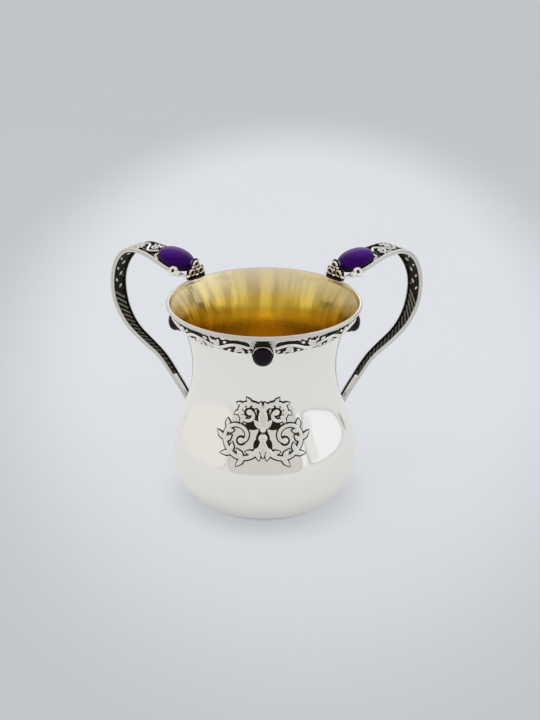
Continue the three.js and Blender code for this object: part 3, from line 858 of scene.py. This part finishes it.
def make_rail(name, azimuth, side, node_name):
    """One edge of the strap, black with painted shade on the side that faces the openwork, ended by a volute.
    """
    build = Build()
    shares = np.linspace(RAIL_START, 1, 150)
    rings = []
    for share in shares:
        at, along, across, out = on_strap(share, side * (span_at(share) - RAIL_WIDTH) / 2)
        rings.append([at + across * side * a + out * b for a, b in rail_section(RAIL_WIDTH, depth_at(share))])
    flipped = side > 0
    verts, faces = loft(np.array(rings)[:, ::-1] if flipped else np.array(rings))
    count = len(rings[0])
    marks = []
    for face in faces:
        columns = {(count - 1 - i % count) if flipped else i % count for i in face}
        # Painted shade on the faces towards the openwork
        marks.append(1 if len(face) == 4 and columns <= INNER_COLUMNS else 0)
    build.add(verts, faces, marks)
    volute_across = side * (span_at(RAIL_START) / 2 - 1.1)
    at, along, across, out = on_strap(RAIL_START - 2.0 / STRAP_LENGTH, volute_across, 0.5)
    facing = across * side * 0.8 + out * 0.6
    level = np.cross(facing, along)
    ring = [at + along * VOLUTE_RADIUS * math.cos(a) + level * VOLUTE_RADIUS * math.sin(a)
            for a in circle(28)]
    build.add(*tube(ring, VOLUTE_WIRE, sides=10, up=facing, closed=True), 2)
    # Painted shade: the volute's dark eye
    build.add(*lens(at, along, level, facing, VOLUTE_EYE, VOLUTE_EYE, 0.5), 1)
    ball = at - along * 3.3 + out * 0.3 - across * side * 0.3
    build.add(*lens(ball, along, across, out, VOLUTE_BALL, VOLUTE_BALL, VOLUTE_BALL), 2)
    build.make(name, [CAST_SHADED, BLACK, CAST], node_name, azimuth)


def make_filler(handle, azimuth):
    """The vine over the arch, on a dark plate of painted shade whose edges draw in at its crossings and
    crests.
    """
    first, last = SCROLLWORK
    length = (last - first) * STRAP_LENGTH
    waves = 3.5
    bits = 14
    build = Build()

    def place(u, v):
        share = (first + last) / 2 + u / STRAP_LENGTH
        return on_strap(share, v * clear_at(share) / 10.0, 0.25)

    vine(build, place, length, 10.4, waves, stem=1.5, wire=1.2, leaves=LEAVES[1:4])
    t = np.linspace(0, 1, 211)
    crossing = np.clip(np.cos(4 * waves * np.pi * t) - 0.5, 0, 1) / 0.5
    edges = []
    for side in (-1, 1):
        crest = np.clip(side * np.sin(2 * waves * np.pi * t) - 0.85, 0, 1) / 0.15
        edges.append(side * (4.95 - 1.5 * np.maximum(crossing, crest)))
    # Painted shade: the dark plate in the channel under the vine
    ground_plate(build, place, (t - 0.5) * length, *edges, thick=0.3, lift=-0.35)
    for i in range(bits):
        u = ((i + 0.5) / bits - 0.5) * length
        v, angle = (-1.5, 40) if i % 2 else (1.7, -25)
        lobe_on(build, place, u, v, angle, long=1.45, wide=0.8, high=0.5, lift=-0.4, point=0.3)
    build.make(f"{handle}_openwork", [CAST_SHADED, BLACK], f"{handle}_scrollwork", azimuth)


def make_coil(handle, azimuth, hand):
    """The wound wire, whose turns slant the same way on both handles, on a dark sheet of painted shade."""
    first, last = COIL
    turns = round((last - first) * STRAP_LENGTH / COIL_PITCH)
    build = Build()
    points, ups = [], []
    for t in np.linspace(0, 1, turns * 18 + 1):
        share = first + (last - first) * t
        turn = 2 * math.pi * turns * t
        swing = (clear_at(share) - COIL_MARGIN) / 2 * math.cos(turn) * hand
        slant = -swing * min(1, t * turns + 0.3, (1 - t) * turns / 2) / STRAP_LENGTH
        lift = 0.2 + (depth_at(share) / 2 - 0.65) * math.sin(turn)
        at, along, _, _ = on_strap(share + slant, swing, lift)
        points.append(at)
        ups.append(along)
    build.add(*tube(points, 0.5, flat=1.2, up=np.array(ups)))
    # Painted shade: a dark sheet in the channel under the wire
    shares = np.linspace(SCROLLWORK[1] - 0.002, last, 60)
    rings = []
    for share in shares:
        at, along, across, out = on_strap(share)
        half = clear_at(share) / 2 - 0.05
        corners = ((-half, 0.05), (half, 0.05), (half, 0.35), (-half, 0.35))
        rings.append([at + across * a + out * b for a, b in corners])
    build.add(*loft(np.array(rings)), 1)
    build.make(f"{handle}_winding", [WOUND, BLACK], f"{handle}_coil", azimuth)


def make_tongue(handle, azimuth):
    """A plain strip with bevelled edges."""
    build = Build()
    rings = []
    for share in np.linspace(*TONGUE, 40):
        at, _, across, out = on_strap(share)
        half = clear_at(share) / 2 - 0.75
        corners = ((-half, 0.0), (half, 0.0), (half, 0.3),
                   (half * 0.5, 0.45), (-half * 0.5, 0.45), (-half, 0.3))
        rings.append([at + across * a + out * b for a, b in corners])
    build.add(*loft(np.array(rings)))
    build.make(f"{handle}_strip", [CAST_SHADED], f"{handle}_tongue", azimuth)


# Leaves beside the big stone: place along and across the strap, and angle in degrees
SEAT_LEAVES = ((6.6, 6.9, 150), (8.6, 6.1, 120), (10.4, 4.6, 100), (11.0, 2.0, 80))


def make_setting(handle, azimuth):
    """The big stone, its collet, and the dark seat with leaves beside it; the seat, the recess under the
    stone and the collet are painted shade.
    """
    place = on_strap(STONE_SHARE)
    lift = STRAP_DEPTH / 2 + SOLDER_GAP
    half_long, half_wide = STONE_LONG / 2, STONE_WIDE / 2
    build = Build()
    # Painted shade: the dark seat and the recess under the stone
    seat = cabochon(place, half_long + 0.8, half_wide + 0.8, girdle=0.5, dome=0.05, lift=lift)
    build.add(*seat, 1)
    deep = 1.6
    under = cabochon(place, half_long - 0.6, half_wide - 0.4, girdle=deep, dome=0.05, lift=lift - deep)
    build.add(*under, 1)

    def beside(u, v):
        return on_strap(STONE_SHARE + u / STRAP_LENGTH, v, 0.1)

    u = np.linspace(-3.4, (SCROLLWORK[0] - STONE_SHARE) * STRAP_LENGTH - 0.2, 50)
    half = np.array([clear_at(STONE_SHARE + x / STRAP_LENGTH) / 2 - 0.05 for x in u])
    ground_plate(build, beside, u, -half, half, thick=0.3, lift=0)
    for side in (-1, 1):
        for at_u, at_v, angle in SEAT_LEAVES:
            lobe_on(build, beside, at_u, side * at_v, side * angle, long=1.5, wide=0.85, high=0.7, lift=0.4)
    build.make(f"{handle}_seat", [CAST, BLACK], f"{handle}_stone_seat", azimuth)
    # Painted shade: the collet and its rim in dark silver
    build = Build()
    margin = 0.75
    collet = oval_ring(place, half_long + margin, half_wide + margin, 0.6, low=lift + 0.3, high=lift + 1.0)
    build.add(*collet, 1)
    at, along, across, out = place
    rim_long, rim_wide = half_long + 0.35, half_wide + 0.35
    rim = [at + along * rim_long * math.cos(a) + across * rim_wide * math.sin(a) + out * (lift + 1.0)
           for a in circle(64)]
    build.add(*tube(rim, 0.2, sides=6, up=out, closed=True), 1)
    build.make(f"{handle}_collet", [CAST_SHADED, BLACK], f"{handle}_stone_bezel", azimuth)
    build = Build()
    build.add(*cabochon(place, half_long + 0.25, half_wide + margin, girdle=1.1, dome=3.5, lift=lift + 0.3))
    build.make(f"{handle}_cabochon", [PURPLE], f"{handle}_stone", azimuth)


def make_saddle(handle, azimuth):
    """A plate on the lip, dark as painted shade under the finial, and two pairs of wires from it to the
    strap.
    """
    top = CUP_HEIGHT + SOLDER_GAP
    build = Build()
    at = np.array([RIM_RADIUS, 0.0, top])
    plate = (at, np.array([1.0, 0, 0]), np.array([0.0, 1, 0]), np.array([0, 0, 1.0]))
    # Painted shade: the dark plate under the finial
    build.add(*cabochon(plate, 3.0, 6.2, girdle=0.35, dome=0.25, lift=-0.25), 1)
    for side in (-1, 1):
        start = np.array([RIM_RADIUS + 0.5, side * 5.6, top + 0.4])
        end = on_strap(RAIL_START - 5.0 / STRAP_LENGTH, side * 6.2, -0.1)[0]
        bend = (start + end) / 2 + np.array([0.3, side * 0.9, 0.7])
        t = np.linspace(0, 1, 15)[:, None]
        line = (1 - t) ** 2 * start + 2 * t * (1 - t) * bend + t**2 * end
        build.add(*tube(line, 0.75))
        build.add(*tube(line - np.array([0.5, side * 1.4, 0.1]), 0.5))
    build.make(f"{handle}_saddle", [CAST, BLACK], f"{handle}_rim_saddle", azimuth)


def make_finial(handle, azimuth):
    """Three doubled ringlets with dark eyes, and grains between them; the eyes and the dark backing are
    painted shade.
    """
    low = CUP_HEIGHT + 1.0
    build = Build()
    x, y, z = np.eye(3)

    def ringlet(across, height, radius, wire):
        # Painted shade: dark backing and eyes in each ringlet
        back = radius + 1.5
        build.add(*lens((RIM_RADIUS + 0.3, across * 1.1, height), y, z, x, back, back, 0.6), 1)
        for out in (-0.5, 1.1):
            ring = [(RIM_RADIUS + out, across + radius * math.cos(a), height + radius * math.sin(a))
                    for a in circle(22)]
            build.add(*tube(ring, wire, up=x, closed=True))
            build.add(*lens((RIM_RADIUS + out, across, height), y, z, x, radius, radius, 0.75), 1)

    ringlet(0, low + 6.1, radius=1.4, wire=0.7)
    for side in (-1, 1):
        ringlet(side * 2.9, low + 2.0, radius=1.5, wire=0.7)
        build.add(*lens((RIM_RADIUS - 0.8, side * 2.4, low + 4.9), x, y, z, 0.8, 0.8, 0.8))
        build.add(*lens((RIM_RADIUS - 0.4, side * 5.4, low + 0.7), x, y, z, 1.0, 1.1, 1.0))
    # Painted shade: dark backing behind the trefoil
    build.add(*lens((RIM_RADIUS + 0.3, 0, low + 2.6), y, z, x, 3.2, 3.2, 0.6), 1)
    build.add(*lens((RIM_RADIUS - 0.8, 0, low + 3.3), x, y, z, 0.9, 0.9, 0.9))
    build.add(*lens((RIM_RADIUS - 0.8, 0, low + 0.5), x, y, z, 1.0, 1.3, 0.9))
    build.make(f"{handle}_trefoil", [CAST, BLACK], f"{handle}_finial", azimuth)


def make_foot(handle, azimuth):
    """A leaf plate on the belly under the strap's end, crowned along its middle."""
    build = Build()
    half_wide, half_long = 4.4, 7.4
    rows = []
    for t in np.linspace(-1, 1, 25):
        half = half_wide * math.sqrt(max(1 - t * t, 0)) * (1 - 0.15 * t) + 0.02
        height = FOOT_HEIGHT + half_long * t
        radius = wall_at(height)[0]
        face, back = [], []
        for s in np.linspace(-1, 1, 9):
            at, _, _, out = on_wall(math.degrees(s * half / radius), height)
            face.append(at + out * (0.25 + 0.7 * (1 - s * s) + 0.1))
            back.append(at + out * 0.02)
        rows.append(face + back[::-1])
    build.add(*loft(np.array(rows)[:, ::-1]))
    build.make(f"{handle}_leaf", [SILVER], f"{handle}_foot_pad", azimuth)


def make_handle(handle, azimuth):
    """All the pieces of one handle, whose upright plane stands at the azimuth."""
    front = 1 if azimuth > 90 else -1
    make_rail(f"{handle}_front_edge", azimuth, front, f"{handle}_front_rail")
    make_rail(f"{handle}_back_edge", azimuth, -front, f"{handle}_back_rail")
    make_filler(handle, azimuth)
    make_coil(handle, azimuth, front)
    make_tongue(handle, azimuth)
    make_setting(handle, azimuth)
    make_saddle(handle, azimuth)
    make_finial(handle, azimuth)
    make_foot(handle, azimuth)


# Stage

PALE = (0.555, 0.57, 0.598)
FLOOR_WHITE = (0.87, 0.868, 0.865)
FLOOR_SEEN = (0.82, 0.817, 0.81)
FLOOR_RADIUS = 5
FLOOR_SIDES = 64


def make_stage():
    """A wide pale floor. Most of what the eye and the reflections see of it glows, a painted light that keeps
    the cup's shadow light;
    it darkens a little towards the corners of the picture as painted shade, and its glow drops at the base as
    a painted contact shadow."""
    made, tree, shader = material("backdrop", FLOOR_WHITE, 0.0, 0.9)
    rays = node(tree, "ShaderNodeLightPath").outputs
    grain = noise(tree, 6, 2)
    cool = two_tone(tree, grain.outputs[0], (0.762, 0.782, 0.82), (0.777, 0.797, 0.835))
    place = node(tree, "ShaderNodeTexCoord").outputs["Object"]
    inputs = {"Vector": place, "Location": (-0.02, -0.13, 0), "Scale": (1, 0.44, 1)}
    spread = node(tree, "ShaderNodeMapping", inputs).outputs[0]
    far = node(tree, "ShaderNodeVectorMath", {"Vector": spread}, operation="LENGTH").outputs["Value"]
    # Painted shade: darker towards the corners of the picture
    fade = node(tree, "ShaderNodeMapRange", {
        "Value": far, "From Min": 0.135, "From Max": 0.24, "To Min": 0.985, "To Max": 0.73},
        interpolation_type="SMOOTHSTEP").outputs[0]
    dimmed = node(tree, "ShaderNodeVectorMath", {0: cool, 1: fade}, operation="MULTIPLY").outputs[0]
    seen = two_tone(tree, rays["Is Camera Ray"], FLOOR_SEEN, dimmed)
    inputs = {0: rays["Is Camera Ray"], 1: rays["Is Glossy Ray"]}
    direct = node(tree, "ShaderNodeMath", inputs, operation="MAXIMUM").outputs[0]
    inputs = {0: seen, "Scale": 0.25}
    lit = node(tree, "ShaderNodeVectorMath", inputs, operation="SCALE").outputs[0]
    tree.links.new(two_tone(tree, direct, FLOOR_WHITE, lit), shader.inputs["Base Color"])
    tree.links.new(seen, shader.inputs["Emission Color"])
    reach = node(tree, "ShaderNodeVectorMath", {0: place}, operation="LENGTH").outputs["Value"]
    # Painted shadow: less glow near the cup, and least at the base's edge
    clear = node(tree, "ShaderNodeMapRange", {
        "Value": reach, "From Min": 0.03, "From Max": 0.06, "To Min": 0.57, "To Max": 0.73},
        interpolation_type="SMOOTHSTEP").outputs[0]
    painted_contact_shadow = node(tree, "ShaderNodeMapRange", {
        "Value": reach, "From Min": 0.0265, "From Max": 0.033, "To Min": 0.3, "To Max": 1.0}).outputs[0]
    glow = times(tree, direct, times(tree, clear, painted_contact_shadow))
    tree.links.new(glow, shader.inputs["Emission Strength"])
    shader.inputs["Specular IOR Level"].default_value = 0.1
    verts = [(FLOOR_RADIUS * math.cos(a), FLOOR_RADIUS * math.sin(a), 0) for a in circle(FLOOR_SIDES)]
    floor = add_mesh("floor", verts, [list(range(FLOOR_SIDES))], [made])


def card(name, colour, azimuths, reach, low, high, corner=0.0):
    """A standing card round the cup, from one azimuth to another, that only reflections show.
    Azimuth 0 is the front and 90 the right; corner rounds the ends of its lower edge."""
    made = bpy.data.materials.new(name)
    made.use_nodes = True
    tree = made.node_tree
    tree.nodes.remove(tree.nodes["Principled BSDF"])
    glow = node(tree, "ShaderNodeEmission", {"Color": (*colour, 1)})
    tree.links.new(glow.outputs[0], tree.nodes["Material Output"].inputs["Surface"])
    verts, faces = [], []
    for i, t in enumerate(np.linspace(-1, 1, 41)):
        a = math.radians(azimuths[0] + (azimuths[1] - azimuths[0]) * (t + 1) / 2)
        foot = low + corner * (1 - (1 - abs(t) ** 5) ** 0.2)
        verts += [(reach * math.sin(a), -reach * math.cos(a), height) for height in (foot, high)]
        if i:
            faces.append([2 * i - 2, 2 * i, 2 * i + 1, 2 * i - 1])
    panel = add_mesh(name, verts, faces, [made])
    panel.visible_camera = False
    panel.visible_diffuse = False
    panel.visible_shadow = False


def framed_card(name, colour, azimuths, reach, low, high, corner, edge):
    """A card with a darker border."""
    card(name, colour, azimuths, reach, low, high, corner)
    turn, border = 1.2, 0.006
    wider = (azimuths[0] - turn, azimuths[1] + turn)
    card(f"{name}_border", edge, wider, reach + 0.01, low - border, high + border, corner)


def area_light(name, at, target, size, power):
    data = bpy.data.lights.new(name, "AREA")
    data.shape = "RECTANGLE"
    data.size, data.size_y = size
    data.energy = power
    lamp = bpy.data.objects.new(name, data)
    lamp.location = at
    lamp.rotation_mode = "QUATERNION"
    lamp.rotation_quaternion = (Vector(target) - Vector(at)).to_track_quat("-Z", "Y")
    lamp.visible_glossy = False
    bpy.context.scene.collection.objects.link(lamp)


def make_lights():
    world = bpy.data.worlds.new("studio")
    world.use_nodes = True
    tree = world.node_tree
    sky = tree.nodes["Background"]
    seen = node(tree, "ShaderNodeLightPath").outputs["Is Camera Ray"]
    tree.links.new(two_tone(tree, seen, (0.76, 0.757, 0.76), PALE), sky.inputs["Color"])
    bpy.context.scene.world = world
    area_light("top", at=(-0.3, 0.2, 1.2), target=(0, 0, 0.05), size=(0.8, 0.8), power=3)
    framed_card("right_panel", (0.96, 0.97, 0.98), (54, 121), 0.4, 0.018, 0.6, 0.09, (0.38, 0.37, 0.32))
    card("right_veil", (0.84, 0.86, 0.84), (54.5, 67), 0.39, 0.05, 0.5, 0.06)
    card("right_slit", (0.95, 0.97, 0.96), (46, 51.5), 0.42, 0.03, 0.5, 0.05)
    card("right_edge", (0.36, 0.36, 0.3), (122, 128), 0.42, 0.0, 0.6)
    framed_card("left_panel", (0.86, 0.85, 0.79), (-137, -43), 0.35, 0.0, 0.5, 0.085, (0.6, 0.59, 0.54))
    framed_card("front_shade", (0.67, 0.66, 0.62), (-39, 43), 0.3, 0.0, 0.18, 0.08, (0.5, 0.49, 0.45))
    card("back_shade", (0.12, 0.11, 0.1), (157, 203), 0.14, 0.0, 0.075)
    card("back_strip", (1.7, 1.6, 1.8), (157, 203), 0.5, 0.24, 0.42)


def make_camera():
    """Looks at the cup from the photograph's height and side, with the photograph's slight roll."""
    back = np.array([0, -math.cos(CAMERA_PITCH), math.sin(CAMERA_PITCH)])
    up = np.array([0, math.sin(CAMERA_PITCH), math.cos(CAMERA_PITCH)])
    right = np.array([1.0, 0, 0])
    at = np.array([CAMERA_SIDE, 0, CAMERA_AIM]) + back * CAMERA_REACH
    rolled_right = right * math.cos(CAMERA_ROLL) + up * math.sin(CAMERA_ROLL)
    rolled_up = -right * math.sin(CAMERA_ROLL) + up * math.cos(CAMERA_ROLL)
    c, s = heading(CAMERA_YAW)
    turn = np.array([[c, -s, 0], [s, c, 0], [0, 0, 1]])
    axes = [turn @ v for v in (rolled_right, rolled_up, back)]
    data = bpy.data.cameras.new("camera")
    data.lens = 70.0
    data.sensor_width = 36.0
    data.clip_end = 20
    camera = bpy.data.objects.new("camera", data)
    matrix = Matrix([[axes[j][i] for j in range(3)] for i in range(3)]).to_4x4()
    matrix.translation = Vector(turn @ at * MM)
    camera.matrix_world = matrix
    bpy.context.scene.collection.objects.link(camera)
    bpy.context.scene.camera = camera


make_bowl()
make_lip()
for place_name, angle in (("right", 0), ("rear", 90), ("left", 180), ("front", 270)):
    make_band_stone(place_name, angle)
for place_name, angle in (("rear_right", 45), ("rear_left", 135), ("front_left", 225), ("front_right", 315)):
    make_band(f"{place_name}_band", angle)
make_ornament()
make_handle("right_handle", HANDLE_ANGLE)
make_handle("left_handle", 180 - HANDLE_ANGLE)
make_stage()
make_lights()
make_camera()

bpy.context.scene.view_settings.view_transform = "Standard"
